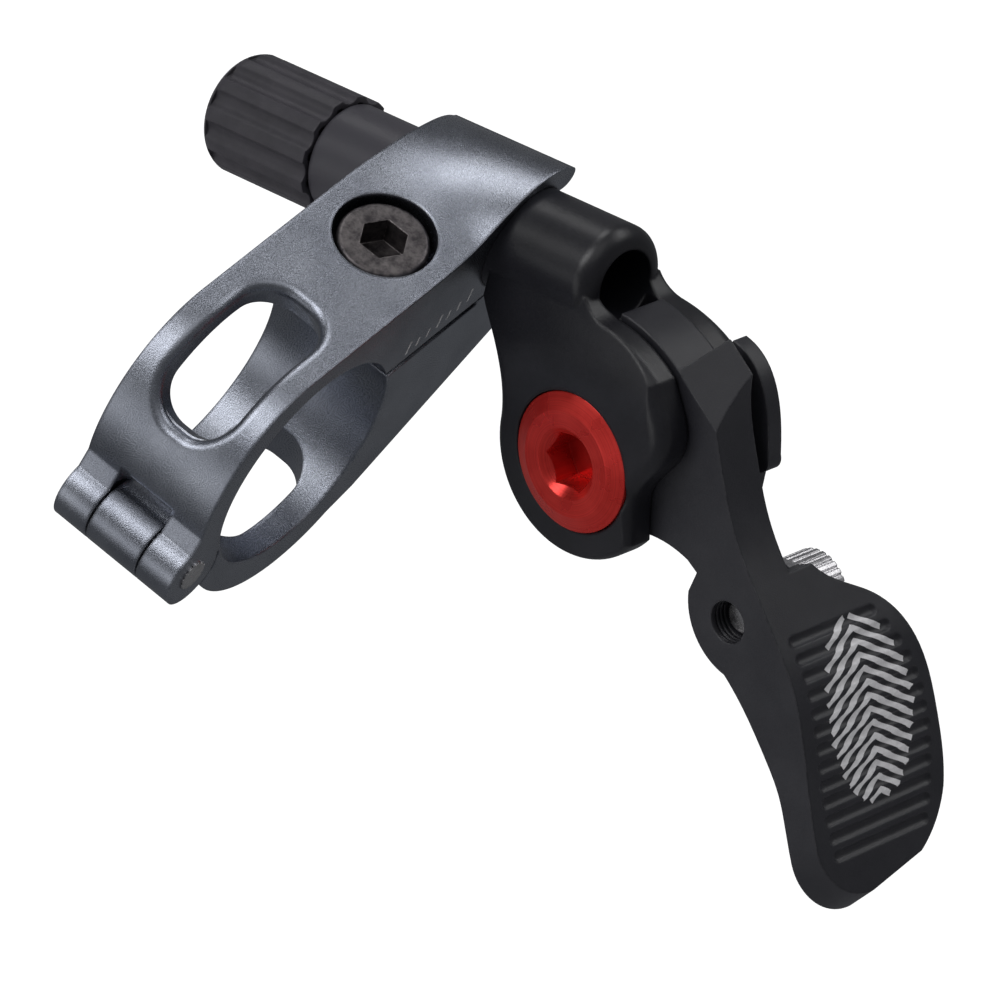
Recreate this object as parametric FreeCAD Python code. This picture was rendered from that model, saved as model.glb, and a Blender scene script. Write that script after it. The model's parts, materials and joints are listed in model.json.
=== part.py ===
import FreeCAD, Part
import math
import os
from FreeCAD import Vector

# A hinged-clamp thumb lever for a dropper seatpost, in millimetres.
# Part frame: origin at the centre of the handlebar bore, X along the handlebar,
# Y from the clamp hinge towards the lever neck, Z up along the clamp bolt.
# Lever frame: n along the neck towards the thumb paddle, e across it towards the cable,
# v along the pivot axis and out through the pivot bolt head. Its origin is on the pivot.

# ---- handlebar clamp ----
BAR_R = 11.1
CLAMP_W = 13.6
RING_OUTER_R = 14.0
ARM_TOP_Z = 13.3
TOP_BLEND_R = 12.0
UPPER_JOINT_Z = 4.2
LOWER_JOINT_Z = 3.5
HINGE_Y = -14.2
HINGE_Z = -3.9
KNUCKLE_R = 3.3
KNUCKLE_GAP = 0.25
MID_KNUCKLE_HALF = 2.85
HINGE_PIN_R = 1.5
HINGE_HOLE_R = 1.55
PIN_TEETH = 14
BOLT_Y = 15.5
BOLT_R = 2.45
BOLT_HEAD_R = 4.25
BOLT_HEAD_H = 5.0
BOLT_LENGTH = 10.0
BOLT_HEX = 4.0
BOLT_SEAT_Z = 7.1
BOLT_WASHER_T = 0.65
COUNTERBORE_R = 4.8
BOLT_CLEARANCE_R = 2.75
TAPPED_HOLE_R = 2.85
WINDOW_W = 8.2
WINDOW_CORNER_R = 3.5
WINDOW_RIM_R = 0.9

# ---- lever neck ----
NECK_TILT = 23.4
NECK_YAW = -4.3
NECK_ROLL = 14.5
NECK_Y = 28.0
NECK_Z = 6.6
NECK_R = 5.25
SADDLE_R = 5.3
CRADLE_R = 5.65
CRADLE_OUTER_R = 7.6
PIVOT_ALONG = 21.2
PIVOT_DROP = 15.4
NECK_END = -0.7
NECK_START = -35.7
CABLE_BORE_R = 3.3
THREAD_BORE_R = 3.0
THREAD_DEPTH = 12.0

# ---- clevis and pivot ----
CHEEK_HALF = 6.3
SLOT_HALF = 2.9
CHEEK_R = 9.6
HUB_CLEAR_R = 8.2
PIVOT_HEAD_R = 6.6
PIVOT_HEAD_T = 2.2
PIVOT_SHANK_R = 2.97
PIVOT_HEX = 5.0

# ---- bearings ----
BEARING_ID_R = 3.0
BEARING_OD_R = 5.0
BEARING_W = 2.4
BEARING_PITCH_R = 4.0
BALL_R = 0.6
BALLS = 9
RACE_GAP = 0.2

# ---- thumb lever ----
LEVER_NEAR = 2.6
LEVER_FAR = -2.0
HUB_R = 7.6
HUB_BORE_R = 5.02
DRUM_R = 14.2
EAR_NEAR = -3.7
EAR_FAR = -5.4
GROOVE_FLOOR_R = 12.6
EAR_INNER_R = 11.7
FAR_CHEEK_R = 11.3
PADDLE_T = 3.4
PADDLE_FAR = -15.1
GROOVES = 13
GROOVE_PITCH = 1.68
GROOVE_FIRST = 24.4   # distance of the first groove down the paddle's top curve
GROOVE_R = 0.7
GROOVE_LIFT = 0.4
TIP_FLARE = 0.42      # how far the tip leans out per mm of depth
PINCH_N = 16.9
PINCH_E = -10.4
PINCH_R = 1.95
PINCH_HOLE_R = 2.0
PINCH_HEAD_R = 3.5
PINCH_HEAD_H = 4.0
PINCH_KNURLS = 28
PINCH_THREADS = 3
PINCH_WASHER_R = 3.6
PINCH_POCKET_R = 3.95

# ---- cable adjuster ----
KNOB_R = 5.85
KNOB_START = -36.0
KNOB_END = -49.8
KNOB_FLUTES = 12
KNOB_FLUTE_R = 1.25
KNOB_WALL = 0.6
KNOB_SKIRT = 1.4
BARREL_STEM_R = 2.93
BARREL_STEM_LEN = 10.5
BARREL_CUP_R = 4.0
SOCKET_R = 3.05
SOCKET_DEPTH = 9.0
WIRE_R = 1.1

HALF_W = CLAMP_W / 2.0


def neck_axes():
    tilt = math.radians(NECK_TILT)
    yaw = math.radians(NECK_YAW)
    roll = math.radians(NECK_ROLL)
    along = Vector(math.cos(tilt) * math.cos(yaw), math.cos(tilt) * math.sin(yaw), math.sin(tilt))
    side = Vector(math.sin(yaw), -math.cos(yaw), 0)
    rise = side.cross(along)
    if rise.z < 0:
        rise = rise * -1
    pivot = side * math.cos(roll) + rise * math.sin(roll)
    return along, pivot.cross(along), pivot


NECK_DIR, LEVER_UP, PIVOT_DIR = neck_axes()
NECK_POINT = Vector(0, NECK_Y, NECK_Z)
PIVOT_POINT = NECK_POINT + NECK_DIR * PIVOT_ALONG - LEVER_UP * PIVOT_DROP


def to_part(shape):
    """Carry a shape from the lever frame into the part frame."""
    matrix = FreeCAD.Matrix(
        NECK_DIR.x, LEVER_UP.x, PIVOT_DIR.x, PIVOT_POINT.x,
        NECK_DIR.y, LEVER_UP.y, PIVOT_DIR.y, PIVOT_POINT.y,
        NECK_DIR.z, LEVER_UP.z, PIVOT_DIR.z, PIVOT_POINT.z,
        0, 0, 0, 1)
    moved = shape.copy()
    moved.Placement = FreeCAD.Placement(matrix)
    return moved


def save(shape, name):
    shape.exportStep("parts/" + name + ".step")


def cyl(radius, start, end):
    """Cylinder between two points."""
    axis = end - start
    return Part.makeCylinder(radius, axis.Length, start, axis)


def tube(outer, inner, start, end):
    return cyl(outer, start, end).cut(cyl(inner, start, end))


def loop(points):
    """Closed face through straight-sided points."""
    return Part.Face(Part.makePolygon(points + [points[0]]))


def spline(points):
    curve = Part.BSplineCurve()
    curve.interpolate(points)
    return curve.toShape()


def yz(y, z, x=0.0):
    return Vector(x, y, z)


def round_box(length, width, depth, corner):
    """Block centred on the origin with its four upright edges rounded."""
    block = Part.makeBox(length, width, depth, Vector(-length / 2, -width / 2, -depth / 2))
    upright = [edge for edge in block.Edges
               if abs(edge.Vertexes[0].Z - edge.Vertexes[1].Z) > depth * 0.9]
    return block.makeFillet(corner, upright)


def hex_prism(across_flats, start, end):
    """Six-sided prism between two points, for a hex key socket."""
    axis = end - start
    radius = across_flats / math.sqrt(3)
    corners = [Vector(radius * math.cos(math.radians(60 * k)), radius * math.sin(math.radians(60 * k)), 0)
               for k in range(6)]
    prism = loop(corners).extrude(Vector(0, 0, axis.Length))
    prism.Placement = FreeCAD.Placement(start, FreeCAD.Rotation(Vector(0, 0, 1), axis))
    return prism


def across_bar(face, half=HALF_W):
    """Extrude a face drawn in the X = 0 plane to both sides."""
    moved = face.copy()
    moved.translate(Vector(-half, 0, 0))
    return moved.extrude(Vector(2 * half, 0, 0))


def polar(radius, degrees):
    return yz(radius * math.cos(math.radians(degrees)), radius * math.sin(math.radians(degrees)))


def knuckle(radius, x0, x1):
    return cyl(radius, Vector(x0, HINGE_Y, HINGE_Z), Vector(x1, HINGE_Y, HINGE_Z))


def neck_cylinder(radius, start=-60.0, end=20.0):
    return cyl(radius, NECK_POINT + NECK_DIR * start, NECK_POINT + NECK_DIR * end)


def saddle_section(x, top, lip, corner_y):
    """Closed outline of the neck saddle at one side of the clamp, with a rounded lip."""
    centre = NECK_POINT + NECK_DIR * (x / NECK_DIR.x)
    lip_points = [yz(y, z, x) for y, z in lip]
    crest = spline([yz(y, z, x) for y, z in top] + [lip_points[0]])
    floor_corner = yz(corner_y, UPPER_JOINT_Z, x)
    start = yz(top[0][0], UPPER_JOINT_Z, x)
    sides = [Part.Arc(*lip_points).toShape(), Part.makeLine(lip_points[2], centre),
             Part.makeLine(centre, floor_corner), Part.makeLine(floor_corner, start),
             Part.makeLine(start, yz(top[0][0], top[0][1], x))]
    return Part.Wire([crest] + sides)


def saddle():
    """Hook over the neck. Its crest twists, because the neck is tilted and the arm is level."""
    near_top = [(14.5, 13.3), (17.5, 13.35), (20.3, 13.8), (23.0, 15.0), (26.0, 16.1), (29.0, 16.4),
                (31.4, 15.9)]
    far_top = [(14.5, 13.3), (17.5, 13.3), (20.5, 13.15), (23.5, 12.8), (26.5, 12.3), (29.5, 11.5),
               (32.2, 10.4)]
    near = saddle_section(HALF_W, near_top, [(33.3, 14.7), (34.1, 13.3), (32.4, 12.3)], 24.0)
    far = saddle_section(-HALF_W, far_top, [(34.2, 8.9), (35.0, 7.3), (33.2, 6.4)], 23.0)
    return Part.makeLoft([far, near], True, True)


def upper_ring():
    """Half ring over the handlebar with the flat arm that carries the bolt."""
    flat_start = math.degrees(math.asin(ARM_TOP_Z / RING_OUTER_R))
    crease = polar(RING_OUTER_R, 180 - flat_start)
    outer = Part.Arc(polar(RING_OUTER_R, 176), polar(RING_OUTER_R, 140), crease)
    inner_end = math.degrees(math.asin(UPPER_JOINT_Z / BAR_R))
    inner = Part.Arc(polar(BAR_R, inner_end), polar(BAR_R, 90), polar(BAR_R, 197))
    top_end = yz(16.0, ARM_TOP_Z)
    floor_end = yz(16.0, UPPER_JOINT_Z)
    knuckle_back = yz(HINGE_Y - 1.0, HINGE_Z + 2.8)
    edges = [outer.toShape(),
             Part.makeLine(crease, top_end),
             Part.makeLine(top_end, floor_end),
             Part.makeLine(floor_end, polar(BAR_R, inner_end)),
             inner.toShape(),
             Part.makeLine(polar(BAR_R, 197), yz(HINGE_Y, HINGE_Z)),
             Part.makeLine(yz(HINGE_Y, HINGE_Z), knuckle_back),
             Part.makeLine(knuckle_back, polar(RING_OUTER_R, 176))]
    ring = across_bar(Part.Face(Part.Wire(edges)))
    return ring.makeFillet(TOP_BLEND_R, [edge for edge in ring.Edges
                                         if abs(edge.CenterOfMass.y - crease.y) < 0.01
                                         and abs(edge.CenterOfMass.z - crease.z) < 0.01])


def window(centre, length, outward):
    """Round-cornered cutter for a slot along the arm, aimed along the outward direction."""
    cutter = round_box(WINDOW_W, length, 16.0, WINDOW_CORNER_R)
    cutter.Placement = FreeCAD.Placement(centre, FreeCAD.Rotation(Vector(0, 0, 1), outward))
    return cutter


def upper_clamp_arm():
    arm = upper_ring().fuse(saddle())
    for x0, x1 in ((-HALF_W, -MID_KNUCKLE_HALF - KNUCKLE_GAP), (MID_KNUCKLE_HALF + KNUCKLE_GAP, HALF_W)):
        arm = arm.fuse(knuckle(KNUCKLE_R, x0, x1))
    notch_half = MID_KNUCKLE_HALF + KNUCKLE_GAP
    arm = arm.cut(knuckle(KNUCKLE_R + 0.4, -notch_half, notch_half))
    notch = Part.makeBox(2 * notch_half, 12.0, 5.6, Vector(-notch_half, HINGE_Y - 4.0, HINGE_Z))
    arm = arm.cut(notch)
    arm = arm.cut(knuckle(HINGE_PIN_R, -HALF_W, HALF_W))
    arm = arm.cut(neck_cylinder(SADDLE_R))
    arm = arm.cut(cyl(COUNTERBORE_R, Vector(0, BOLT_Y, BOLT_SEAT_Z), Vector(0, BOLT_Y, 20)))
    arm = arm.cut(cyl(BOLT_CLEARANCE_R, Vector(0, BOLT_Y, 0), Vector(0, BOLT_Y, 20)))
    hole = window(Vector(0, -3.2, 10.2), 15.6, Vector(0, -0.305, 0.952))
    arm = arm.cut(hole).removeSplitter()
    arm = arm.makeFillet(WINDOW_RIM_R, [edge for edge in arm.Edges if on_window_rim(edge)])
    return arm.fuse(window_lip(hole)).removeSplitter()


def window_lip(hole):
    """Thin lip left at the hinge end of the window, next to the bore, so more of the bore wall stays."""
    slope = window(Vector(0, -0.15, 11.67), 20.0, Vector(0, -0.739, 0.674))
    return upper_ring().common(hole).cut(slope)


def on_window_rim(edge):
    """True for the edges where the upper window breaks through the top of the arm."""
    return all(point.y < 8.0 and point.z > 5.0 and abs(point.x) < WINDOW_W / 2.0 + 0.05
               and (math.hypot(point.y, point.z) > RING_OUTER_R - 0.3 or point.z > ARM_TOP_Z - 0.05)
               for point in edge.discretize(9))


def lower_ring():
    """Half ring under the handlebar with the arm that reaches below the neck."""
    inner_end = math.degrees(math.asin(LOWER_JOINT_Z / BAR_R))
    inner = Part.Arc(polar(BAR_R, inner_end), polar(BAR_R, -90), polar(BAR_R, -160))
    outer = Part.Arc(polar(14.3, -158), polar(14.3, -110), polar(14.3, -64))
    corners = [polar(14.3, -64), yz(9.6, -11.9), yz(27.4, -3.4), yz(31.0, -1.0), yz(31.0, LOWER_JOINT_Z),
               polar(BAR_R, inner_end)]
    edges = [outer.toShape()]
    edges += [Part.makeLine(a, b) for a, b in zip(corners, corners[1:])]
    edges += [inner.toShape(), Part.makeLine(polar(BAR_R, -160), yz(HINGE_Y, HINGE_Z)),
              Part.makeLine(yz(HINGE_Y, HINGE_Z), polar(14.3, -158))]
    return across_bar(Part.Face(Part.Wire(edges)))


def cradle():
    """Half tube under the neck, cut to the width of the clamp."""
    shell = neck_cylinder(CRADLE_OUTER_R, -12, 12)
    band = Part.makeBox(CLAMP_W, 12.0, 12.0, Vector(-HALF_W, 23.0, -8.0))
    shell = shell.common(band)
    above = Part.makeBox(40, 40, 20, Vector(-20, 10, 0))
    above.rotate(Vector(0, 0, 0), Vector(0, 1, 0), -NECK_TILT)
    above.translate(Vector(0, 0, NECK_Z - 2.2))
    return shell.cut(above)


def lower_clamp_arm():
    arm = lower_ring().fuse(cradle())
    arm = arm.fuse(knuckle(KNUCKLE_R, -MID_KNUCKLE_HALF, MID_KNUCKLE_HALF))
    for x0, x1 in ((-HALF_W - 1, -MID_KNUCKLE_HALF), (MID_KNUCKLE_HALF, HALF_W + 1)):
        arm = arm.cut(knuckle(KNUCKLE_R + 0.35, x0, x1))
    arm = arm.cut(knuckle(HINGE_HOLE_R, -HALF_W, HALF_W))
    arm = arm.cut(neck_cylinder(CRADLE_R))
    arm = arm.cut(cyl(TAPPED_HOLE_R, Vector(0, BOLT_Y, -20), Vector(0, BOLT_Y, 10)))
    arm = arm.cut(window(Vector(0, 0.6, -12.0), 13.6, Vector(0, 0, 1)))
    return arm


def hinge_pin():
    """Pressed pin with a short toothed band at its visible end."""
    end = HALF_W + 0.15
    pin = knuckle(HINGE_PIN_R, -HALF_W + 0.1, end)
    for k in range(PIN_TEETH):
        angle = 2 * math.pi * k / PIN_TEETH
        side = yz(HINGE_Y + 1.5 * math.cos(angle), HINGE_Z + 1.5 * math.sin(angle), end - 0.5)
        pin = pin.cut(cyl(0.13, side, side + Vector(1, 0, 0)))
    return pin


def clamp_washer():
    top = BOLT_SEAT_Z + BOLT_WASHER_T
    return tube(4.6, 2.6, Vector(0, BOLT_Y, BOLT_SEAT_Z), Vector(0, BOLT_Y, top))


def clamp_bolt():
    seat = BOLT_SEAT_Z + BOLT_WASHER_T
    top = seat + BOLT_HEAD_H
    head = cyl(BOLT_HEAD_R, Vector(0, BOLT_Y, seat), Vector(0, BOLT_Y, top))
    head = head.makeFillet(0.45, [edge for edge in head.Edges if abs(edge.BoundBox.ZMin - top) < 1e-6])
    head = head.cut(hex_prism(BOLT_HEX, Vector(0, BOLT_Y, top - 2.9), Vector(0, BOLT_Y, top + 1)))
    shank = cyl(BOLT_R, Vector(0, BOLT_Y, seat - BOLT_LENGTH), Vector(0, BOLT_Y, seat))
    tip = [edge for edge in shank.Edges if abs(edge.BoundBox.ZMax - (seat - BOLT_LENGTH)) < 1e-6]
    return head.fuse(shank.makeChamfer(0.7, tip))


def at(n, e, v=0.0):
    return Vector(n, e, v)


def along_pivot(radius, v0, v1, n=0.0, e=0.0):
    return cyl(radius, at(n, e, v0), at(n, e, v1))


def polar_at(radius, degrees, v=0.0):
    """Point at a radius and angle about the pivot."""
    return at(radius * math.cos(math.radians(degrees)), radius * math.sin(math.radians(degrees)), v)


def ring_sector(outer, inner, v0, v1, first, last):
    """Part of a ring about the pivot, between two angles in degrees."""
    middle = (first + last) / 2
    outside = Part.Arc(*[polar_at(outer, a, v0) for a in (first, middle, last)]).toShape()
    inside = Part.Arc(*[polar_at(inner, a, v0) for a in (first, middle, last)]).toShape()
    sides = [Part.makeLine(polar_at(outer, a, v0), polar_at(inner, a, v0)) for a in (first, last)]
    return Part.Face(Part.Wire([outside, sides[1], inside, sides[0]])).extrude(at(0, 0, v1 - v0))


def clevis_outline():
    """Side outline of the clevis: neck underside, pivot boss and the lobe that guards the drum."""
    start = at(-12.6, PIVOT_DROP - NECK_R + 1.0)
    waist = spline([start, at(-11.2, 8.2), at(-9.9, 4.6), at(-CHEEK_R, 0.6)])
    low = math.radians(-38)
    boss_end = at(CHEEK_R * math.cos(low) * 0.95, CHEEK_R * math.sin(low))
    boss = Part.Arc(at(-CHEEK_R, 0.6), at(-CHEEK_R * 0.5, -CHEEK_R * 0.86), boss_end).toShape()
    notch = spline([boss_end, at(7.0, -3.4), at(7.15, -1.0), at(8.4, 1.0), at(10.1, 3.2), at(10.65, 5.3),
                    at(9.8, 8.2), at(8.6, 10.65)])
    lobe = Part.Arc(at(8.6, 10.65), at(5.2, 12.7), at(1.9, 13.55)).toShape()
    cap = Part.Arc(at(1.9, 13.55), at(0.1, 14.2), at(-1.0, PIVOT_DROP)).toShape()
    back = Part.makeLine(at(-1.0, PIVOT_DROP), at(-12.6, PIVOT_DROP))
    close = Part.makeLine(at(-12.6, PIVOT_DROP), start)
    return Part.Face(Part.Wire([waist, boss, notch, lobe, cap, back, close]))


def cheek_taper():
    """Solid that narrows the clevis from the pivot boss up to the width of the neck."""
    flank = [(-14.0, CHEEK_HALF), (2.0, CHEEK_HALF), (7.0, CHEEK_HALF), (10.0, 6.0), (12.5, 5.35),
             (15.5, 4.85)]
    near = spline([at(-30, e, v) for e, v in flank])
    far = spline([at(-30, e, -v) for e, v in flank])
    ends = [Part.makeLine(at(-30, e, v), at(-30, e, -v)) for e, v in (flank[0], flank[-1])]
    return Part.Face(Part.Wire([near, ends[1], far, ends[0]])).extrude(at(60, 0))


def lever_mount():
    face = clevis_outline()
    face.translate(at(0, 0, -CHEEK_HALF))
    clevis = face.extrude(at(0, 0, 2 * CHEEK_HALF))
    rims = [edge for edge in clevis.Edges
            if abs(edge.BoundBox.ZMin - edge.BoundBox.ZMax) < 1e-6 and edge.BoundBox.YMax < PIVOT_DROP - 0.1]
    clevis = clevis.makeFillet(1.5, rims).common(cheek_taper())
    neck = cyl(NECK_R, at(NECK_START, PIVOT_DROP), at(NECK_END, PIVOT_DROP))
    tips = [edge for edge in neck.Edges if abs(edge.BoundBox.XMin - NECK_END) < 1e-6]
    neck = neck.makeFillet(1.7, tips)
    body = clevis.fuse(neck)
    body = body.cut(Part.makeBox(40, 40, 2 * SLOT_HALF, at(NECK_END, -20, -SLOT_HALF)))
    body = body.cut(ring_sector(18, FAR_CHEEK_R, -CHEEK_HALF - 1, -SLOT_HALF, -45, 55))
    body = body.cut(along_pivot(HUB_CLEAR_R, -SLOT_HALF, SLOT_HALF))
    body = body.cut(cyl(CABLE_BORE_R, at(NECK_START + THREAD_DEPTH, PIVOT_DROP), at(20, PIVOT_DROP)))
    body = body.cut(cyl(THREAD_BORE_R, at(NECK_START - 1, PIVOT_DROP), at(NECK_START + 20, PIVOT_DROP)))
    body = body.cut(cyl(4.4, at(NECK_START - 1, PIVOT_DROP), at(NECK_START + 1.1, PIVOT_DROP)))
    body = body.cut(along_pivot(PIVOT_HEAD_R + 0.12, CHEEK_HALF - PIVOT_HEAD_T, CHEEK_HALF + 2))
    body = body.cut(along_pivot(3.0, -CHEEK_HALF - 1, CHEEK_HALF))
    return body


def pivot_bolt():
    """Wide low head with a sloping rim, plain shank through the bearings, threaded end."""
    seat = CHEEK_HALF - PIVOT_HEAD_T + 0.02
    top = CHEEK_HALF + 0.6
    end = 0.3 - CHEEK_HALF
    profile = [at(0, 0, end), at(PIVOT_SHANK_R, 0, end), at(PIVOT_SHANK_R, 0, seat),
               at(PIVOT_HEAD_R, 0, seat), at(PIVOT_HEAD_R, 0, top - 0.75), at(5.0, 0, top), at(0, 0, top)]
    bolt = loop(profile).revolve(at(0, 0), at(0, 0, 1), 360)
    bolt = bolt.cut(hex_prism(PIVOT_HEX, at(0, 0, top - 3.4), at(0, 0, top + 1)))
    mouth = Part.makeCone(2.5, 3.4, 0.9, at(0, 0, top - 0.9), at(0, 0, 1))
    return bolt.cut(mouth)


def bearing_centres():
    offset = RACE_GAP + BEARING_W / 2
    return (offset, -offset)


def race_ring(outer, inner, centre):
    ring = along_pivot(outer, centre - BEARING_W / 2, centre + BEARING_W / 2)
    ring = ring.cut(along_pivot(inner, centre - BEARING_W / 2, centre + BEARING_W / 2))
    return ring.cut(Part.makeTorus(BEARING_PITCH_R, BALL_R + 0.06, at(0, 0, centre), at(0, 0, 1)))


def bearing_inner_races():
    return Part.makeCompound([race_ring(3.58, BEARING_ID_R, c) for c in bearing_centres()])


def bearing_outer_races():
    return Part.makeCompound([race_ring(BEARING_OD_R, 4.42, c) for c in bearing_centres()])


def ball_centres(centre):
    step = 2 * math.pi / BALLS
    return [at(BEARING_PITCH_R * math.cos(step * k), BEARING_PITCH_R * math.sin(step * k), centre)
            for k in range(BALLS)]


def bearing_balls():
    return Part.makeCompound([Part.makeSphere(BALL_R, point)
                              for c in bearing_centres() for point in ball_centres(c)])


def bearing_cages():
    """Crown cages: a thin ring on the inner side of each row of balls, with open pockets."""
    cages = []
    for centre in bearing_centres():
        side = -math.copysign(1, centre)
        near = centre + side * 0.15
        far = centre + side * 0.85
        cage = along_pivot(4.2, near, far).cut(along_pivot(3.8, near, far))
        for point in ball_centres(centre):
            cage = cage.cut(Part.makeSphere(BALL_R + 0.05, point))
        cages.append(cage)
    return Part.makeCompound(cages)


def bearing_shields():
    shields = []
    for centre in bearing_centres():
        for side in (-1, 1):
            middle = centre + side * 1.08
            shields.append(along_pivot(4.4, middle - 0.06, middle + 0.06)
                           .cut(along_pivot(3.68, middle - 0.06, middle + 0.06)))
    return Part.makeCompound(shields)


def bearing_spacer():
    return along_pivot(3.55, -RACE_GAP + 0.01, RACE_GAP - 0.01).cut(
        along_pivot(3.0, -RACE_GAP + 0.01, RACE_GAP - 0.01))


def shim_washers():
    shims = []
    for side in (-1, 1):
        middle = side * (LEVER_NEAR + SLOT_HALF) / 2
        shims.append(along_pivot(3.9, middle - 0.13, middle + 0.13).cut(
            along_pivot(3.0, middle - 0.13, middle + 0.13)))
    return Part.makeCompound(shims)


PADDLE_TOP = [(13.4, 11.3), (13.5, 8.2), (14.7, 3.8), (17.0, -2.0), (19.7, -6.0), (22.5, -9.8),
              (25.0, -13.4), (26.8, -18.0), (28.1, -23.0), (29.4, -27.4), (31.3, -32.3), (32.9, -36.4)]
PADDLE_UNDER = [(29.6, -37.2), (28.3, -34.0), (26.6, -30.0), (25.7, -27.4), (24.6, -24.6), (22.5, -21.5),
                (19.3, -17.7), (17.0, -15.6)]
PLAN_START = (19.7, -6.0)
PLAN_END = (31.3, -32.3)


def blade_outline():
    """Side outline of the lever plate, from the drum hood down to the paddle tip."""
    top = spline([at(n, e) for n, e in PADDLE_TOP])
    tip = Part.makeLine(at(*PADDLE_TOP[-1]), at(*PADDLE_UNDER[0]))
    under = spline([at(n, e) for n, e in PADDLE_UNDER])
    boss = Part.Arc(at(*PADDLE_UNDER[-1]), at(13.4, -13.4), at(12.0, -9.2)).toShape()
    corners = [at(12.0, -9.2), at(12.8, -7.1), at(11.6, -6.3)]
    tooth = [Part.makeLine(a, b) for a, b in zip(corners, corners[1:])]
    root = Part.Arc(at(11.6, -6.3), at(8.2, -5.6), at(4.6, -6.05)).toShape()
    inner = [at(4.6, -6.05), at(0, 0), at(8.75, 11.3)]
    inside = [Part.makeLine(a, b) for a, b in zip(inner, inner[1:])]
    hood = Part.makeLine(at(8.75, 11.3), at(10.4, 13.6))
    crest = Part.Arc(at(10.4, 13.6), at(12.3, 12.8), at(*PADDLE_TOP[0])).toShape()
    return Part.Face(Part.Wire([top, tip, under, boss] + tooth + [root] + inside + [hood, crest]))


def drum():
    """Cable drum sector between the cheeks."""
    return ring_sector(DRUM_R, 3.0, -LEVER_NEAR, LEVER_NEAR, 50, 84)


def ear():
    """Thin outer wall of the cable groove, with the groove floor that joins it to the plate."""
    outer = spline([at(9.3, 12.6), at(12.5, 10.6), at(13.9, 7.6), at(14.55, 2.9)])
    corner = Part.Arc(at(14.55, 2.9), at(14.3, 1.6), at(13.1, 1.3)).toShape()
    foot = [at(13.1, 1.3), at(12.4, -3.4), at(11.2, -2.6), polar_at(EAR_INNER_R, 10)]
    lines = [Part.makeLine(a, b) for a, b in zip(foot, foot[1:])]
    inner = Part.Arc(*[polar_at(EAR_INNER_R, a) for a in (10, 30, 51)]).toShape()
    close = Part.makeLine(polar_at(EAR_INNER_R, 51), at(9.3, 12.6))
    face = Part.Face(Part.Wire([outer, corner] + lines + [inner, close]))
    face.translate(at(0, 0, EAR_FAR))
    wall = face.extrude(at(0, 0, EAR_NEAR - EAR_FAR))
    floor = ring_sector(GROOVE_FLOOR_R, EAR_INNER_R, EAR_FAR + 0.4, LEVER_FAR + 0.4, 4, 51)
    heel = loop([at(13.1, 1.3), at(12.4, -3.4), at(11.2, -2.6), at(12.6, 1.6)])
    heel.translate(at(0, 0, EAR_FAR))
    return wall.fuse(floor).fuse(heel.extrude(at(0, 0, LEVER_FAR + 0.4 - EAR_FAR)))


def paddle_plan(depth):
    """Plan outline of the paddle at a depth under its mean plane: first along the paddle, then across it."""
    tip = TIP_FLARE * depth
    side_points = [(-0.2, -5.0), (1.5, -6.6), (4.2, -10.8), (6.5, -12.75), (9.0, -13.75), (12.5, -14.5),
                   (16.5, -14.95), (20.7, PADDLE_FAR), (23.4, -14.6)]
    side = spline([at(u, v, depth) for u, v in side_points])
    far_corner = [at(23.4, -14.6, depth), at(26.5 + tip, -12.9, depth), at(28.2 + tip, -10.3, depth)]
    near_corner = [at(29.7 + tip, -3.4, depth), at(28.3 + tip, 0.6, depth), at(24.0 + tip, LEVER_NEAR, depth)]
    corner_a = Part.Arc(*far_corner).toShape()
    end = Part.makeLine(far_corner[2], near_corner[0])
    corner_b = Part.Arc(*near_corner).toShape()
    points = [(24.0 + tip, LEVER_NEAR), (-6.0, LEVER_NEAR), (-6.0, -1.9), (-0.2, -1.9), (-0.2, -5.0)]
    rest = [Part.makeLine(at(*a, depth), at(*b, depth)) for a, b in zip(points, points[1:])]
    return Part.Wire([side, corner_a, end, corner_b] + rest)


def plan_frame(shape):
    """Carry a shape drawn as (along, across, depth) of the paddle's mean plane into the lever frame."""
    rise = (PLAN_END[0] - PLAN_START[0], PLAN_END[1] - PLAN_START[1])
    length = math.hypot(*rise)
    along = at(rise[0] / length, rise[1] / length)
    across = at(0, 0, 1)
    down = along.cross(across)
    matrix = FreeCAD.Matrix(along.x, across.x, down.x, PLAN_START[0],
                            along.y, across.y, down.y, PLAN_START[1],
                            along.z, across.z, down.z, 0, 0, 0, 0, 1)
    moved = shape.copy()
    moved.Placement = FreeCAD.Placement(matrix)
    return moved


def under_paddle():
    """Everything on the far side below the paddle's even thickness."""
    top = spline([at(n, e) for n, e in PADDLE_TOP])
    points = []
    for spot in top.discretize(Number=40)[10::3]:
        tangent = top.tangentAt(top.Curve.parameter(spot))
        points.append(spot + at(tangent.y, -tangent.x) * PADDLE_T)
    under = spline(points)
    corners = [points[-1], at(0, -50), at(-20, 10), points[0]]
    rest = [Part.makeLine(a, b) for a, b in zip(corners, corners[1:])]
    face = Part.Face(Part.Wire([under] + rest))
    face.translate(at(0, 0, -30))
    return face.extrude(at(0, 0, 30 + LEVER_FAR))


def paddle():
    """Broad curved thumb pad, as thick as the plate on the near side and thinner beyond it."""
    face = blade_outline()
    face.translate(at(0, 0, PADDLE_FAR - 1))
    block = face.extrude(at(0, 0, LEVER_NEAR - PADDLE_FAR + 1))
    prism = Part.makeLoft([paddle_plan(-6), paddle_plan(10)], True, True)
    return block.common(plan_frame(prism)).cut(under_paddle())


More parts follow.
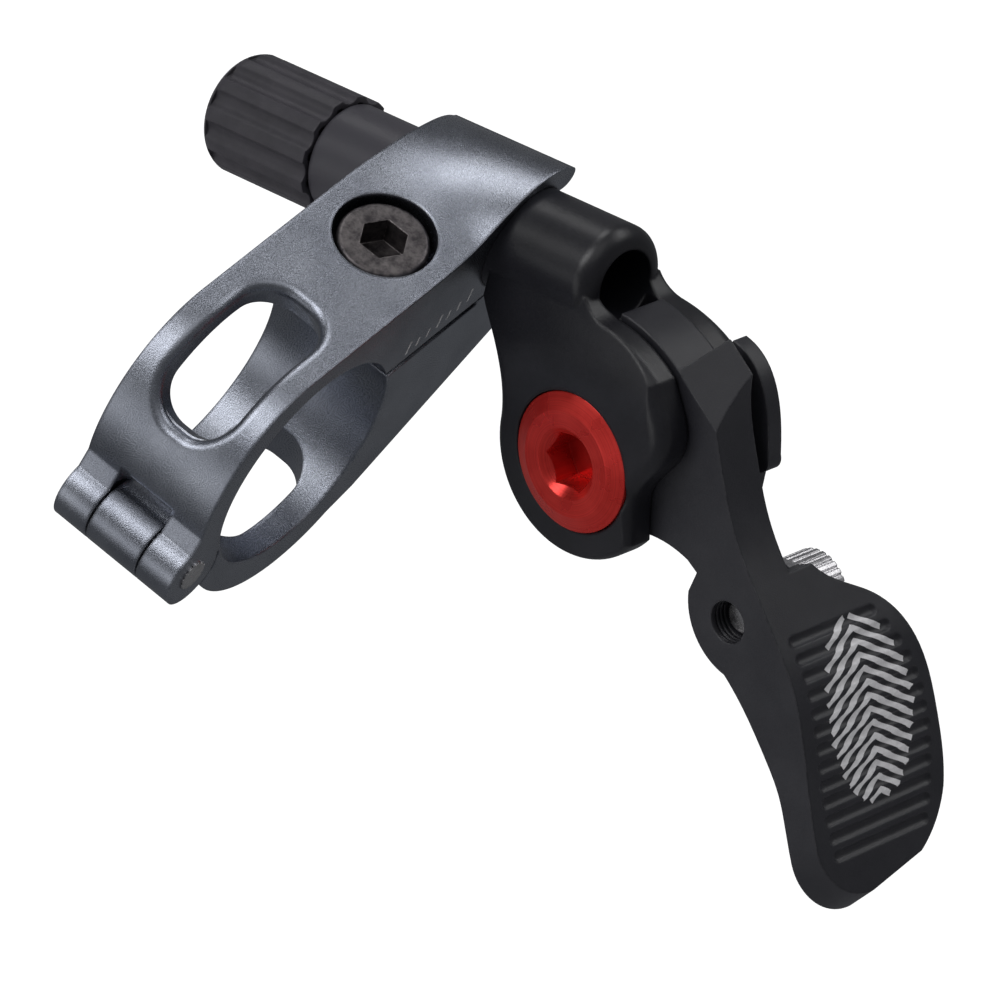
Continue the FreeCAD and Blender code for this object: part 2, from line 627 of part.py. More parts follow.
def groove_cutters():
    """Round-ended grooves across the paddle, evenly spaced along its top curve."""
    top = spline([at(n, e) for n, e in PADDLE_TOP])
    steps = 800
    points = top.discretize(Number=steps + 1)
    cutters = []
    for k in range(GROOVES):
        index = int(round((GROOVE_FIRST + GROOVE_PITCH * k) / top.Length * steps))
        tangent = (points[index + 1] - points[index - 1]).normalize()
        centre = points[index] + at(-tangent.y, tangent.x) * GROOVE_LIFT
        left = at(centre.x, centre.y, 0.6 - 0.03 * max(0, k - 8) ** 2)
        right = at(centre.x, centre.y, -13.3 + 0.073 * (k - 7) ** 2)
        cutters.append(cyl(GROOVE_R, right, left).fuse([Part.makeSphere(GROOVE_R, left),
                                                        Part.makeSphere(GROOVE_R, right)]))
    return cutters


def hood_chamfer():
    """Wedge that slopes the near top corner of the hood."""
    low = at(8.7, 11.1, 2.6)
    high = at(10.5, 13.6, -2.0)
    back = at(13.4, 11.3, -2.0)
    normal = (high - low).cross(back - low)
    if normal.z < 0:
        normal = normal * -1
    block = Part.makeBox(30, 30, 10, Vector(-15, -15, 0))
    block.Placement = FreeCAD.Placement(low, FreeCAD.Rotation(Vector(0, 0, 1), normal))
    return block


def thumb_lever():
    face = blade_outline()
    face.translate(at(0, 0, LEVER_FAR))
    blade = face.extrude(at(0, 0, LEVER_NEAR - LEVER_FAR))
    blade = blade.cut(hood_chamfer())
    lower_end = Part.makeBox(60, 40, 40, at(0, -60, -20))
    lever = blade.cut(lower_end).fuse(paddle())
    lever = lever.fuse(along_pivot(HUB_R, -LEVER_NEAR, LEVER_NEAR)).fuse(drum()).fuse(ear())
    lever = lever.fuse(along_pivot(4.2, LEVER_FAR - 1.7, LEVER_FAR + 0.5, PINCH_N, PINCH_E))
    for cutter in groove_cutters():
        lever = lever.cut(cutter)
    for side in (-1, 1):
        lever = lever.cut(along_pivot(HUB_BORE_R, side * RACE_GAP, side * 5.0))
    lever = lever.cut(along_pivot(4.5, -1, 1))
    lever = lever.cut(along_pivot(PINCH_HOLE_R, -8, 8, PINCH_N, PINCH_E))
    for k in range(PINCH_THREADS):
        v = LEVER_NEAR - 1.75 + 0.5 * k
        lever = lever.cut(along_pivot(PINCH_HOLE_R + 0.3, v, v + 0.22, PINCH_N, PINCH_E))
    lever = lever.cut(along_pivot(PINCH_POCKET_R, -20, LEVER_FAR - 1.7, PINCH_N, PINCH_E))
    return lever.removeSplitter()


def pinch_washer():
    top = LEVER_FAR - 1.72
    washer = along_pivot(PINCH_WASHER_R, top - 1.6, top, PINCH_N, PINCH_E)
    return washer.cut(along_pivot(2.1, top - 2, top + 1, PINCH_N, PINCH_E))


def pinch_screw():
    """M4 socket head screw with a knurled rim, entering from the far side of the lever."""
    seat = LEVER_FAR - 1.72 - 1.6 - 0.02
    head = along_pivot(PINCH_HEAD_R, seat - PINCH_HEAD_H, seat, PINCH_N, PINCH_E)
    socket = hex_prism(3.0, at(PINCH_N, PINCH_E, seat - PINCH_HEAD_H - 1), at(PINCH_N, PINCH_E, seat - 2.0))
    for k in range(PINCH_KNURLS):
        angle = 2 * math.pi * k / PINCH_KNURLS
        n = PINCH_N + PINCH_HEAD_R * math.cos(angle)
        e = PINCH_E + PINCH_HEAD_R * math.sin(angle)
        head = head.cut(along_pivot(0.17, seat - PINCH_HEAD_H - 1, seat - 0.3, n, e))
    shank = along_pivot(PINCH_R, seat, LEVER_NEAR - 1.7, PINCH_N, PINCH_E)
    tip = [edge for edge in shank.Edges if abs(edge.BoundBox.ZMin - (LEVER_NEAR - 1.7)) < 1e-6]
    return head.cut(socket).fuse(shank.makeChamfer(0.5, tip))


def along_neck(radius, n0, n1):
    return cyl(radius, at(n0, PIVOT_DROP), at(n1, PIVOT_DROP))


def adjuster_seal_ring():
    return Part.makeTorus(3.72, 0.62, at(NECK_START + 0.45, PIVOT_DROP), at(1, 0))


def adjuster_barrel():
    """Hollow screw: a cup for the cable housing end and a threaded stem into the neck."""
    cup_end = KNOB_START - 1.6
    cup = along_neck(BARREL_CUP_R, KNOB_END + 1.2, cup_end)
    stem = along_neck(BARREL_STEM_R, cup_end - 1, NECK_START + BARREL_STEM_LEN)
    barrel = cup.fuse(stem)
    barrel = barrel.cut(along_neck(SOCKET_R, KNOB_END - 1, KNOB_END + 1.2 + SOCKET_DEPTH))
    return barrel.cut(along_neck(WIRE_R, -60, 0))


def adjuster_knob():
    """Fluted grip moulded round the barrel, its skirt hollowed to a thin fluted wall."""
    grip = along_neck(KNOB_R, KNOB_END, KNOB_START)
    rear = [edge for edge in grip.Edges if abs(edge.BoundBox.XMax - KNOB_END) < 1e-6]
    grip = grip.makeFillet(1.6, rear)
    hollow = along_neck(KNOB_R - KNOB_WALL, KNOB_START - KNOB_SKIRT, KNOB_START + 1)
    for k in range(KNOB_FLUTES):
        angle = 2 * math.pi * k / KNOB_FLUTES
        radius = KNOB_R + 0.75
        centre = at(0, PIVOT_DROP + radius * math.cos(angle), radius * math.sin(angle))
        grip = grip.cut(cyl(KNOB_FLUTE_R, centre + at(KNOB_END + 1.0, 0), centre + at(KNOB_START + 1, 0)))
        rib = cyl(KNOB_FLUTE_R + KNOB_WALL, centre + at(KNOB_END, 0), centre + at(KNOB_START + 2, 0))
        hollow = hollow.cut(rib)
    grip = grip.cut(along_neck(BARREL_CUP_R + 0.02, KNOB_END + 1.2, KNOB_START))
    grip = grip.cut(along_neck(SOCKET_R + 0.4, KNOB_END - 1, KNOB_END + 2))
    return grip.cut(hollow)


PART_FRAME_PIECES = {
    "upper_clamp_arm": upper_clamp_arm,
    "lower_clamp_arm": lower_clamp_arm,
    "hinge_pin": hinge_pin,
    "clamp_washer": clamp_washer,
    "clamp_bolt": clamp_bolt,
}

LEVER_FRAME_PIECES = {
    "lever_mount": lever_mount,
    "pivot_bolt": pivot_bolt,
    "bearing_inner_races": bearing_inner_races,
    "bearing_outer_races": bearing_outer_races,
    "bearing_balls": bearing_balls,
    "bearing_cages": bearing_cages,
    "bearing_shields": bearing_shields,
    "bearing_spacer": bearing_spacer,
    "shim_washers": shim_washers,
    "thumb_lever": thumb_lever,
    "pinch_washer": pinch_washer,
    "pinch_screw": pinch_screw,
    "adjuster_seal_ring": adjuster_seal_ring,
    "adjuster_barrel": adjuster_barrel,
    "adjuster_knob": adjuster_knob,
}


def main():
    os.makedirs("parts", exist_ok=True)
    for name, build in PART_FRAME_PIECES.items():
        save(build(), name)
    for name, build in LEVER_FRAME_PIECES.items():
        save(to_part(build()), name)


main()
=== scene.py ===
import json
import math

import bmesh
import bpy
from mathutils import Matrix, Vector
from mathutils.bvhtree import BVHTree


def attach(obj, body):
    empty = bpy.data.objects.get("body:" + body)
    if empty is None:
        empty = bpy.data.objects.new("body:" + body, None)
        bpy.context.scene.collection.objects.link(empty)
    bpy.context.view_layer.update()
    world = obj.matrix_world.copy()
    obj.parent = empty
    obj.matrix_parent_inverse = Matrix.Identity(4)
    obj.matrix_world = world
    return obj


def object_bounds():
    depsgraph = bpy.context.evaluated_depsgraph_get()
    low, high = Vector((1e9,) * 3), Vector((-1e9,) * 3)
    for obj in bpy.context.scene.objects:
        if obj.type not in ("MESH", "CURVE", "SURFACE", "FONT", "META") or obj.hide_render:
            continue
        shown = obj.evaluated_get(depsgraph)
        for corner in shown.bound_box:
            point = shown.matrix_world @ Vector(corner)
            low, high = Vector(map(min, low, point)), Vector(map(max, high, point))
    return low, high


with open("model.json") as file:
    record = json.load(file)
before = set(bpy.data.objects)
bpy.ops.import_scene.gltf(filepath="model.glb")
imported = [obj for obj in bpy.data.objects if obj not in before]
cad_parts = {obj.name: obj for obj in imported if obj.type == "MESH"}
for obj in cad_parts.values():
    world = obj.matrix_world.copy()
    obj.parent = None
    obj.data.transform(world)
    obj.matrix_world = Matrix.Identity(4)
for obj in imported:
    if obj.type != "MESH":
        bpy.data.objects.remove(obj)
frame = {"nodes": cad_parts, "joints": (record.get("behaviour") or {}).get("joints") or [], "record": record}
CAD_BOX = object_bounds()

NODES = frame["nodes"]
JOINTS = {joint["name"]: joint for joint in frame["joints"]}
SCENE = bpy.context.scene
MM = 0.001

# The lever's own axes, read from its joints: along the neck, across it, and out through the pivot head.
PIVOT = Vector(JOINTS["lever_pivot"]["pos_m"])
NECK_AXIS = Vector(JOINTS["lever_swivel"]["axis"]).normalized()
PIVOT_AXIS = -Vector(JOINTS["lever_pivot"]["axis"]).normalized()
RISE_AXIS = PIVOT_AXIS.cross(NECK_AXIS).normalized()

# The adjuster end of the neck is painted paler, a painted highlight for the light that end catches. The
# change lies under the clamp. Millimetres along the neck.
LIT_END_FROM_PIVOT = 22.0
LIT_END_BLEND = 0.5

# Chevron bars on the ribbed face of the paddle, in millimetres.
FACE_MIDDLE = (26.6, -18.0, -6.6)   # middle of the oval, in the lever's axes
FACE_RUN = (11.6, -26.3)            # direction down the paddle: share of the neck axis, of the rise axis
RAY_START = 8.0                     # rays start this far out from the face
OVAL_HALF_LONG = 8.6
OVAL_HALF_WIDE = 5.5
BAR_NUMBERS = range(-12, 9)         # one bar each, counted from the oval's middle
BAR_PITCH = 1.25
BAR_WIDTH = 0.54
BAR_SWEEP = 0.62                    # how far a bar runs along the paddle for each step across it
BAR_REACH = 12.0                    # half the length of a bar before the oval clips it
BAR_STEP = 0.16                     # distance between the points of a bar
BAR_ACROSS = (-1.0, -0.6, -0.2, 0.2, 0.6, 1.0)   # points across a bar, in half widths
FEWEST_POINTS = 7                   # a shorter piece of a bar is left out
INK_LIFT = 0.025
INK_DEPTH = 0.03

# Slanted ticks on the side of the upper clamp arm, in millimetres.
TICK_COUNT = 7
TICK_START_Y, TICK_START_Z = 12.6, 4.9
TICK_PITCH_Y, TICK_PITCH_Z = 1.4, 0.1
TICK_WIDTH = 0.26
TICK_SLANT = 0.3                    # how far a tick leans for each step up
TICK_TALL, TICK_SHORT = 1.5, 1.0    # every third tick is tall
TICK_PROUD = 0.012
TICK_SUNK = 0.05

# Camera fitted to the photo: millimetres for the lens, metres for its place.
LENS = 287.71
SENSOR_WIDTH = 36.0
CLIP_START, CLIP_END = 0.02, 400.0
CAMERA_RIGHT = (0.7485422, 0.6380486, 0.1804952)
CAMERA_UP = (-0.5986300, 0.5331917, 0.5977866)
CAMERA_PLACE = (0.224734, -0.385766, 0.556745)

# Floor and surroundings, in metres.
FLOOR_HALF = 60.0
FLOOR_DROP = 0.16
FLOOR_GLOW = 0.58
WORLD_COLOUR = (0.95, 0.97, 1.0, 1.0)
WORLD_STRENGTH = 0.13

# Name of each light, its place from the middle of the part, its two sides (metres), and its radiance.
LIGHTS = (
    ("key_left", (-0.75, -0.55, 0.95), (0.55, 0.9), 4.2),
    ("back_top", (0.15, 0.85, 0.75), (0.9, 0.35), 2.6),
    ("saddle_left", (-0.72, 0.52, 0.66), (0.32, 0.5), 3.6),
    ("top_soft", (0.05, -0.05, 1.2), (0.9, 0.9), 0.6),
    ("fill_front", (-0.45, -1.0, 0.02), (0.9, 0.5), 0.9),
)


def lever_point(n, e, v):
    """Place in the frame, in metres, of a point given in millimetres along the lever's axes."""
    return PIVOT + (NECK_AXIS * n + RISE_AXIS * e + PIVOT_AXIS * v) * MM


# ---------------------------------------------------------------- node helpers

# Sockets of the mix node that belong to its colour kind, by number: its names repeat.
MIX_FACTOR, MIX_A, MIX_B, MIX_RESULT = 0, 6, 7, 2


class Shader:
    """A material and its node tree, with short calls to add and join nodes."""

    def __init__(self, name):
        self.material = bpy.data.materials.new(name)
        self.material.use_nodes = True
        self.tree = self.material.node_tree
        self.bsdf = self.tree.nodes["Principled BSDF"]
        self.place = self.add("ShaderNodeTexCoord").outputs["Object"]

    def add(self, kind, **settings):
        node = self.tree.nodes.new(kind)
        for key, value in settings.items():
            setattr(node, key, value)
        return node

    def link(self, source, target):
        self.tree.links.new(source, target)

    def noise(self, scale, detail=2.0, roughness=0.5):
        node = self.add("ShaderNodeTexNoise")
        node.inputs["Scale"].default_value = scale
        node.inputs["Detail"].default_value = detail
        node.inputs["Roughness"].default_value = roughness
        self.link(self.place, node.inputs["Vector"])
        return node.outputs["Fac"]

    def spread(self, value, low, high, to_low=0.0, to_high=1.0, smooth=False):
        """A value's range from low to high, mapped to another range."""
        node = self.add("ShaderNodeMapRange", interpolation_type="SMOOTHSTEP" if smooth else "LINEAR")
        for key, number in (("From Min", low), ("From Max", high), ("To Min", to_low), ("To Max", to_high)):
            node.inputs[key].default_value = number
        self.link(value, node.inputs["Value"])
        return node.outputs["Result"]

    def math(self, operation, a, b):
        node = self.add("ShaderNodeMath", operation=operation)
        for value, socket in ((a, node.inputs[0]), (b, node.inputs[1])):
            if isinstance(value, (int, float)):
                socket.default_value = value
            else:
                self.link(value, socket)
        return node.outputs["Value"]

    def weighted(self, a, share_a, b, share_b):
        """Weighted sum of two values."""
        return self.math("ADD", self.math("MULTIPLY", a, share_a), self.math("MULTIPLY", b, share_b))

    def vector(self, operation, a, b=None):
        """Vector maths. The result is a number for a dot product or a length, else a vector."""
        node = self.add("ShaderNodeVectorMath", operation=operation)
        for value, socket in ((a, node.inputs[0]), (b, node.inputs[1])):
            if isinstance(value, Vector):
                socket.default_value = value
            elif value is not None:
                self.link(value, socket)
        return node.outputs["Value" if operation in ("DOT_PRODUCT", "LENGTH") else "Vector"]

    def mix(self, factor, a, b):
        node = self.add("ShaderNodeMix", data_type="RGBA")
        self.link(factor, node.inputs[MIX_FACTOR])
        for value, socket in ((a, node.inputs[MIX_A]), (b, node.inputs[MIX_B])):
            if isinstance(value, tuple):
                socket.default_value = value + (1.0,)
            else:
                self.link(value, socket)
        return node.outputs[MIX_RESULT]

    def rounded(self, radius):
        """Surface direction with every edge rounded to a radius in millimetres."""
        node = self.add("ShaderNodeBevel", samples=6)
        node.inputs["Radius"].default_value = radius * MM
        return node.outputs["Normal"]

    def edge_mask(self, radius, low=0.02, high=0.3):
        """1 along the edges, 0 on open faces."""
        flat = self.add("ShaderNodeNewGeometry").outputs["True Normal"]
        match = self.vector("DOT_PRODUCT", self.rounded(radius), flat)
        return self.spread(self.math("SUBTRACT", 1.0, match), low, high, smooth=True)

    def bump(self, height, strength, depth, normal=None):
        """Surface direction tilted by a height. The depth is in millimetres."""
        node = self.add("ShaderNodeBump")
        node.inputs["Strength"].default_value = strength
        node.inputs["Distance"].default_value = depth * MM
        self.link(height, node.inputs["Height"])
        if normal is not None:
            self.link(normal, node.inputs["Normal"])
        return node.outputs["Normal"]

    def finish(self, colour, roughness, normal, metallic, specular):
        self.bsdf.inputs["Metallic"].default_value = metallic
        self.bsdf.inputs["Specular IOR Level"].default_value = specular
        self.link(colour, self.bsdf.inputs["Base Color"])
        self.link(roughness, self.bsdf.inputs["Roughness"])
        self.link(normal, self.bsdf.inputs["Normal"])
        return self.material


# ---------------------------------------------------------------- finishes

def blasted(name, dark, light, worn_and_highlight_colour, rough, metallic, grain, strength, edge, wear_and_highlight, sparkle=0.0, lit_end_colour=None):
    """Bead-blasted and anodised alloy: fine grain, cloudy tone, edges painted to a paler tone, partly as
    rubbed wear and partly as a painted highlight.

    The paler colour given for the neck's adjuster end is a painted highlight, for the light that end
    catches.
    """
    s = Shader(name)
    cloud = s.noise(160.0, detail=4.0, roughness=0.55)
    fine = s.noise(grain, detail=1.5, roughness=0.6)
    tone = s.spread(s.weighted(cloud, 0.6, fine, 0.4), 0.36, 0.64)
    colour = s.mix(tone, dark, light)
    # Painted highlight: the neck's adjuster end is painted a paler colour, standing in for the light it
    # catches.
    if lit_end_colour:
        start = PIVOT.dot(NECK_AXIS) - LIT_END_FROM_PIVOT * MM
        blend = LIT_END_BLEND * MM
        along = s.vector("DOT_PRODUCT", s.place, NECK_AXIS)
        colour = s.mix(s.spread(along, start + blend, start - blend, smooth=True), colour, lit_end_colour)
    # Paler edges, partly rubbed wear and partly a painted highlight standing in for the light the rounded
    # edges catch.
    scuffs = s.spread(s.noise(900.0, detail=5.0, roughness=0.7), 0.42, 0.62)
    rubbed = s.math("MULTIPLY", s.edge_mask(0.16, 0.01, 0.16), s.math("MULTIPLY", scuffs, wear_and_highlight))
    colour = s.mix(rubbed, colour, worn_and_highlight_colour)
    roughness = s.spread(fine, 0.3, 0.7, rough - 0.05, rough + 0.07)
    height = fine
    if sparkle:
        grit = s.noise(grain * 0.55, detail=2.0, roughness=0.7)
        height = s.math("ADD", fine, s.math("MULTIPLY", grit, sparkle))
    normal = s.bump(height, strength, 0.05, s.rounded(edge))
    return s.finish(colour, roughness, normal, metallic, specular=0.5)


def turned_steel(name, dark, light, rough=0.25):
    """Turned metal, bare or blackened: fine tool marks and blotches."""
    s = Shader(name)
    marks = s.noise(3000.0, detail=3.0, roughness=0.6)
    blotch = s.noise(700.0, detail=5.0, roughness=0.65)
    tone = s.spread(s.weighted(marks, 0.5, blotch, 0.5), 0.38, 0.62)
    colour = s.mix(tone, dark, light)
    roughness = s.spread(blotch, 0.3, 0.7, rough - 0.06, rough + 0.12)
    normal = s.bump(marks, 0.25, 0.03, s.rounded(0.15))
    return s.finish(colour, roughness, normal, metallic=1.0, specular=0.5)


def scuffed_black(name):
    """Black-oxide screw, rubbed brown-grey on its rim, with small dents."""
    s = Shader(name)
    blotch = s.noise(900.0, detail=6.0, roughness=0.7)
    dents = s.add("ShaderNodeTexVoronoi", feature="F1")
    dents.inputs["Scale"].default_value = 1100.0
    s.link(s.place, dents.inputs["Vector"])
    pit = s.spread(dents.outputs["Distance"], 0.08, 0.32, smooth=True)
    tone = s.spread(blotch, 0.38, 0.64)
    colour = s.mix(tone, (0.060, 0.054, 0.058), (0.18, 0.165, 0.165))
    scuffs = s.spread(s.noise(1600.0, detail=4.0, roughness=0.7), 0.4, 0.6)
    rubbed = s.math("MULTIPLY", s.edge_mask(0.22), scuffs)
    colour = s.mix(rubbed, colour, (0.50, 0.46, 0.45))
    roughness = s.spread(blotch, 0.3, 0.7, 0.32, 0.55)
    normal = s.bump(s.weighted(blotch, 0.7, pit, 0.5), 0.5, 0.08, s.rounded(0.2))
    return s.finish(colour, roughness, normal, metallic=0.85, specular=0.5)


def red_anodised(name):
    """Bright red anodised head: turned rings about the pivot axis, deep saturated tone."""
    s = Shader(name)
    from_pivot = s.vector("SUBTRACT", s.place, PIVOT)
    from_axis = s.vector("LENGTH", s.vector("CROSS_PRODUCT", from_pivot, PIVOT_AXIS))
    rings = s.add("ShaderNodeTexNoise", noise_dimensions="1D")
    rings.inputs["Scale"].default_value = 9000.0
    rings.inputs["Detail"].default_value = 2.0
    s.link(from_axis, rings.inputs["W"])
    ring = rings.outputs["Fac"]
    cloud = s.noise(300.0, detail=3.0, roughness=0.5)
    tone = s.spread(s.weighted(ring, 0.4, cloud, 0.6), 0.38, 0.62)
    colour = s.mix(tone, (0.60, 0.024, 0.020), (0.78, 0.048, 0.038))
    roughness = s.spread(cloud, 0.3, 0.7, 0.24, 0.34)
    normal = s.bump(ring, 0.16, 0.02, s.rounded(0.15))
    return s.finish(colour, roughness, normal, metallic=0.65, specular=0.6)


def moulded(name, dark, light, rough):
    """Moulded plastic or rubber: soft grain, faint mottling, slightly paler edges."""
    s = Shader(name)
    edge = 0.25
    pale = tuple(min(1.0, c * 2.2) for c in light)
    grain = s.noise(4200.0, detail=3.0, roughness=0.6)
    cloud = s.noise(420.0, detail=4.0, roughness=0.6)
    colour = s.mix(s.spread(cloud, 0.35, 0.65), dark, light)
    colour = s.mix(s.math("MULTIPLY", s.edge_mask(edge), 0.25), colour, pale)
    roughness = s.spread(grain, 0.3, 0.7, rough - 0.07, rough + 0.07)
    normal = s.bump(s.math("ADD", grain, cloud), 0.3, 0.05, s.rounded(edge))
    return s.finish(colour, roughness, normal, metallic=0.0, specular=0.4)


def paint(name, dark, light):
    """Pad-printed ink: matt, slightly uneven."""
    s = Shader(name)
    uneven = s.noise(1800.0, detail=4.0, roughness=0.6)
    colour = s.mix(s.spread(uneven, 0.35, 0.65), dark, light)
    roughness = s.spread(uneven, 0.3, 0.7, 0.45, 0.6)
    return s.finish(colour, roughness, s.bump(uneven, 0.2, 0.02), metallic=0.0, specular=0.4)


def make_materials():
    """One material for each material slot in the record."""
    return {
        "clamp_alloy": blasted(
            "clamp_satin", (0.24, 0.255, 0.30), (0.37, 0.39, 0.445), (0.86, 0.88, 0.94),
            rough=0.27, metallic=1.0, grain=12500.0, strength=0.42, edge=0.5, wear_and_highlight=0.85, sparkle=0.4),
        "body_black": blasted(
            "body_satin", (0.0085, 0.0085, 0.0115), (0.015, 0.015, 0.019), (0.06, 0.06, 0.068),
            rough=0.33, metallic=0.0, grain=9000.0, strength=0.2, edge=0.45, wear_and_highlight=0.5,
            # The last colour paints the neck's adjuster end paler, a painted highlight.
            lit_end_colour=(0.050, 0.048, 0.058)),
        "lever_black": blasted(
            "lever_matt", (0.017, 0.017, 0.022), (0.028, 0.028, 0.034), (0.13, 0.13, 0.14),
            rough=0.39, metallic=0.0, grain=9000.0, strength=0.28, edge=0.3, wear_and_highlight=0.6),
        "pin_steel": turned_steel("steel_turned", (0.50, 0.49, 0.50), (0.74, 0.73, 0.74)),
        "bolt_black": scuffed_black("oxide_black"),
        "washer_black": turned_steel(
            "washer_black_finish", (0.05, 0.05, 0.055), (0.12, 0.12, 0.125), 0.4),
        "pivot_red": red_anodised("red_bright"),
        "race_steel": turned_steel("race_ground", (0.55, 0.55, 0.57), (0.75, 0.75, 0.77), 0.16),
        "ball_steel": turned_steel("ball_polished", (0.70, 0.70, 0.72), (0.82, 0.82, 0.84), 0.08),
        "cage_brass": turned_steel("cage_brass_finish", (0.60, 0.42, 0.18), (0.78, 0.58, 0.28), 0.3),
        "shield_rubber": moulded("shield_rubber_finish", (0.02, 0.02, 0.02), (0.035, 0.035, 0.035), 0.7),
        "spacer_alloy": turned_steel("spacer_turned", (0.60, 0.60, 0.61), (0.76, 0.76, 0.77)),
        "shim_steel": turned_steel("shim_plain", (0.50, 0.50, 0.51), (0.66, 0.66, 0.67), 0.3),
        "pinch_steel": turned_steel("pinch_stainless", (0.60, 0.59, 0.61), (0.80, 0.79, 0.81), 0.24),
        "seal_rubber": moulded("seal_rubber_finish", (0.012, 0.012, 0.012), (0.022, 0.022, 0.022), 0.6),
        "barrel_alloy": turned_steel("barrel_dark", (0.07, 0.07, 0.075), (0.15, 0.15, 0.155), 0.35),
        "knob_plastic": moulded("knob_moulded", (0.037, 0.035, 0.042), (0.049, 0.046, 0.055), 0.42),
    }


def dress_nodes(materials):
    """Give every node the material of its slot in the record."""
    slots = {part["node"]: part["material_slot"] for part in frame["record"]["subparts"]}
    for name, obj in NODES.items():
        for slot in obj.material_slots:
            slot.material = materials[slots[name]]


# ---------------------------------------------------------------- printed marks

def printed_object(name, bm, ink):
    """Object made of a finished bmesh, in one ink."""
    bmesh.ops.recalc_face_normals(bm, faces=bm.faces)
    mesh = bpy.data.meshes.new(name)
    bm.to_mesh(mesh)
    bm.free()
    mesh.materials.append(ink)
    obj = bpy.data.objects.new(name, mesh)
    SCENE.collection.objects.link(obj)
    return obj


def clipped(path):
    """Runs of a path of (along, across) points that lie inside the oval."""
    run = []
    for along, across in path:
        if (along / OVAL_HALF_LONG) ** 2 + (across / OVAL_HALF_WIDE) ** 2 <= 1.0:
            run.append((along, across))
        elif run:
            yield run
            run = []
    if run:
        yield run


def chevron(number):
    """Path of one chevron bar, as (along, across) points from the oval's middle."""
    reach = int(BAR_REACH / BAR_STEP)
    for i in range(-reach, reach + 1):
        across = i * BAR_STEP
        yield number * BAR_PITCH + abs(across) * BAR_SWEEP, across


def print_mark(ink):
    """Nested chevron bars, clipped to an oval, printed on the ribbed face of the paddle."""
    lever = NODES["thumb_lever"].data
    tree = BVHTree.FromPolygons([v.co for v in lever.vertices], [p.vertices for p in lever.polygons])
    down = (NECK_AXIS * FACE_RUN[0] + RISE_AXIS * FACE_RUN[1]).normalized()
    out = PIVOT_AXIS.cross(down)
    if out.dot(NECK_AXIS) < 0:
        out = -out
    middle = lever_point(*FACE_MIDDLE)
    bm = bmesh.new()

    def surface(a, b):
        """Place just above the face, at a distance down and across the paddle, or None."""
        start = middle + (down * a + PIVOT_AXIS * b + out * RAY_START) * MM
        hit = tree.ray_cast(start, -out)[0]
        return hit + out * INK_LIFT * MM if hit else None

    def bar(path):
        """Strip along a path, laid over the ribs with several points across."""
        rows = []
        for i, (a, b) in enumerate(path):
            ahead = path[min(i + 1, len(path) - 1)]
            behind = path[max(i - 1, 0)]
            da, db = ahead[0] - behind[0], ahead[1] - behind[1]
            size = math.hypot(da, db)
            side_a, side_b = -db / size * BAR_WIDTH / 2, da / size * BAR_WIDTH / 2
            row = [surface(a + side_a * t, b + side_b * t) for t in BAR_ACROSS]
            if all(row):
                rows.append([bm.verts.new(point) for point in row])
        for row, after in zip(rows, rows[1:]):
            for j in range(len(row) - 1):
                bm.faces.new((row[j], row[j + 1], after[j + 1], after[j]))

    for number in BAR_NUMBERS:
        for run in clipped(chevron(number)):
            if len(run) >= FEWEST_POINTS:
                bar(run)
    mark = printed_object("paddle_mark", bm, ink)
    solid = mark.modifiers.new("thickness", "SOLIDIFY")
    solid.thickness = INK_DEPTH * MM
    solid.offset = 1.0
    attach(mark, "lever")


def side_ticks(ink):
    """Row of small slanted ticks, printed on the near side of the upper arm."""
    clamp = next(mount for mount in frame["record"]["mounts"] if mount["name"] == "bar_clamp")
    side = clamp["dims"]["length_mm"] / 2 * MM
    bm = bmesh.new()
    for k in range(TICK_COUNT):
        y = TICK_START_Y + k * TICK_PITCH_Y
        z = TICK_START_Z + k * TICK_PITCH_Z
        tall = TICK_TALL if k % 3 == 0 else TICK_SHORT
        lean = tall * TICK_SLANT
        corners = [(y, z), (y + TICK_WIDTH, z), (y + TICK_WIDTH + lean, z + tall), (y + lean, z + tall)]
        front = [bm.verts.new((side + TICK_PROUD * MM, a * MM, b * MM)) for a, b in corners]
        back = [bm.verts.new((side - TICK_SUNK * MM, a * MM, b * MM)) for a, b in corners]
        bm.faces.new(front)
        bm.faces.new(back[::-1])
        for i in range(len(corners)):
            after = (i + 1) % len(corners)
            bm.faces.new((front[i], back[i], back[after], front[after]))
    ticks = printed_object("side_ticks", bm, ink)
    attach(ticks, "clamp_upper")


# ---------------------------------------------------------------- stage

def area_light(name, place, target, size, radiance):
    """Rectangular light that faces a target and isn't seen itself."""
    light = bpy.data.lights.new(name, "AREA")
    light.shape = "RECTANGLE"
    light.size, light.size_y = size
    light.energy = radiance * math.pi * size[0] * size[1]
    obj = bpy.data.objects.new(name, light)
    SCENE.collection.objects.link(obj)
    obj.location = place
    obj.rotation_euler = (target - place).to_track_quat("-Z", "Y").to_euler()
    obj.visible_camera = False


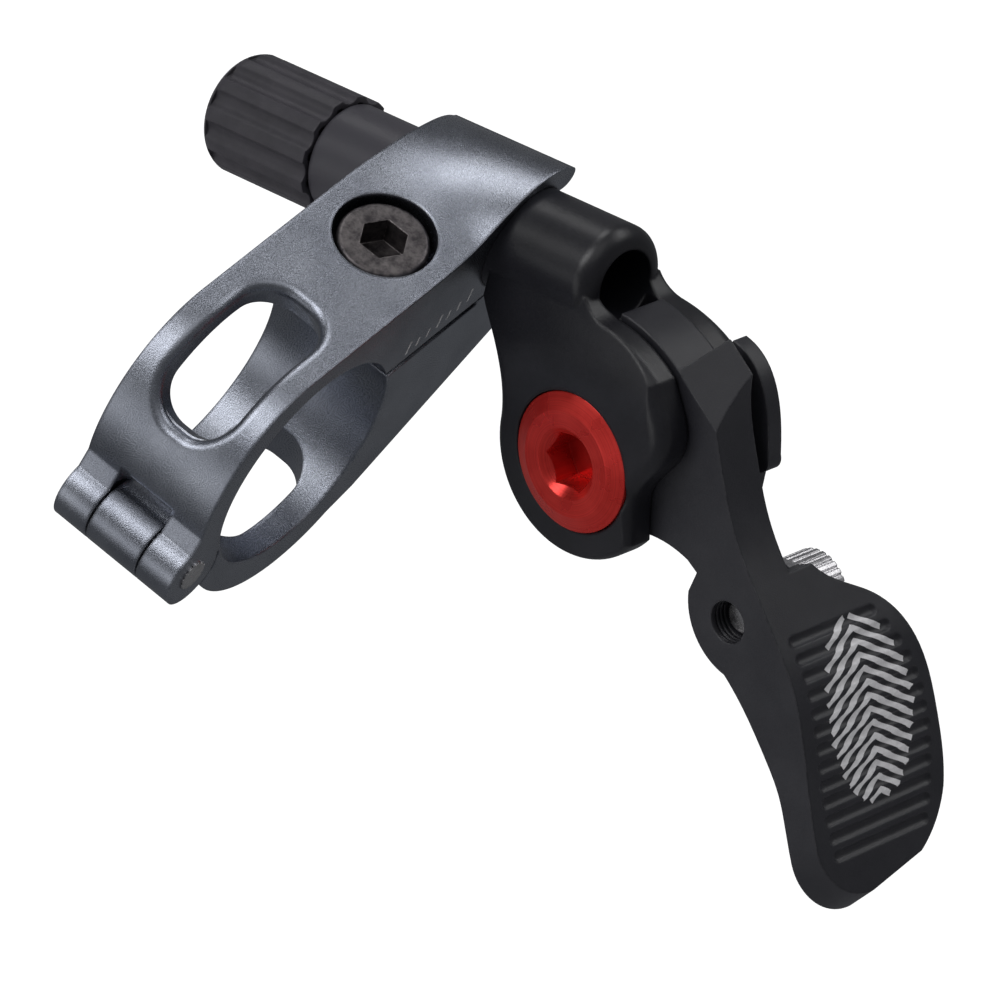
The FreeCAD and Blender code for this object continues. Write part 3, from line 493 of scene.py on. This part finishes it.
def make_floor(height):
    """Wide pale floor with a glow of its own, so that it shows almost white."""
    mesh = bpy.data.meshes.new("floor")
    h = FLOOR_HALF
    corners = [(-h, -h, height), (h, -h, height), (h, h, height), (-h, h, height)]
    mesh.from_pydata(corners, [], [(0, 1, 2, 3)])
    floor = bpy.data.objects.new("floor", mesh)
    SCENE.collection.objects.link(floor)
    s = Shader("floor_pale")
    s.bsdf.inputs["Emission Color"].default_value = (1.0, 1.0, 1.0, 1.0)
    s.bsdf.inputs["Emission Strength"].default_value = FLOOR_GLOW
    tone = s.noise(6.0)
    colour = s.mix(tone, (0.80, 0.80, 0.80), (0.82, 0.82, 0.82))
    roughness = s.spread(tone, 0.3, 0.7, 0.85, 0.9)
    s.finish(colour, roughness, s.bump(tone, 0.02, 0.1), metallic=0.0, specular=0.1)
    mesh.materials.append(s.material)
    floor.visible_glossy = False


def make_stage():
    """Floor, surroundings and lights, placed from the part's box."""
    low, high = CAD_BOX
    centre = (low + high) / 2
    make_floor(low.z - FLOOR_DROP)

    world = bpy.data.worlds.new("studio")
    SCENE.world = world
    world.use_nodes = True
    background = world.node_tree.nodes["Background"]
    background.inputs["Color"].default_value = WORLD_COLOUR
    background.inputs["Strength"].default_value = WORLD_STRENGTH

    for name, offset, size, radiance in LIGHTS:
        area_light(name, centre + Vector(offset), centre, size, radiance)


def make_camera():
    """The camera that was fitted to the photo."""
    data = bpy.data.cameras.new("camera")
    data.lens = LENS
    data.sensor_width = SENSOR_WIDTH
    data.clip_start = CLIP_START
    data.clip_end = CLIP_END
    camera = bpy.data.objects.new("camera", data)
    SCENE.collection.objects.link(camera)
    right, up = Vector(CAMERA_RIGHT), Vector(CAMERA_UP)
    turn = Matrix((right, up, right.cross(up))).transposed().to_4x4()
    camera.matrix_world = Matrix.Translation(Vector(CAMERA_PLACE)) @ turn
    SCENE.camera = camera
    SCENE.view_settings.view_transform = "Standard"


make_camera()
dress_nodes(make_materials())
print_mark(paint("mark_ink", (0.70, 0.69, 0.71), (0.82, 0.81, 0.83)))
side_ticks(paint("tick_ink", (0.30, 0.30, 0.31), (0.42, 0.42, 0.43)))
make_stage()
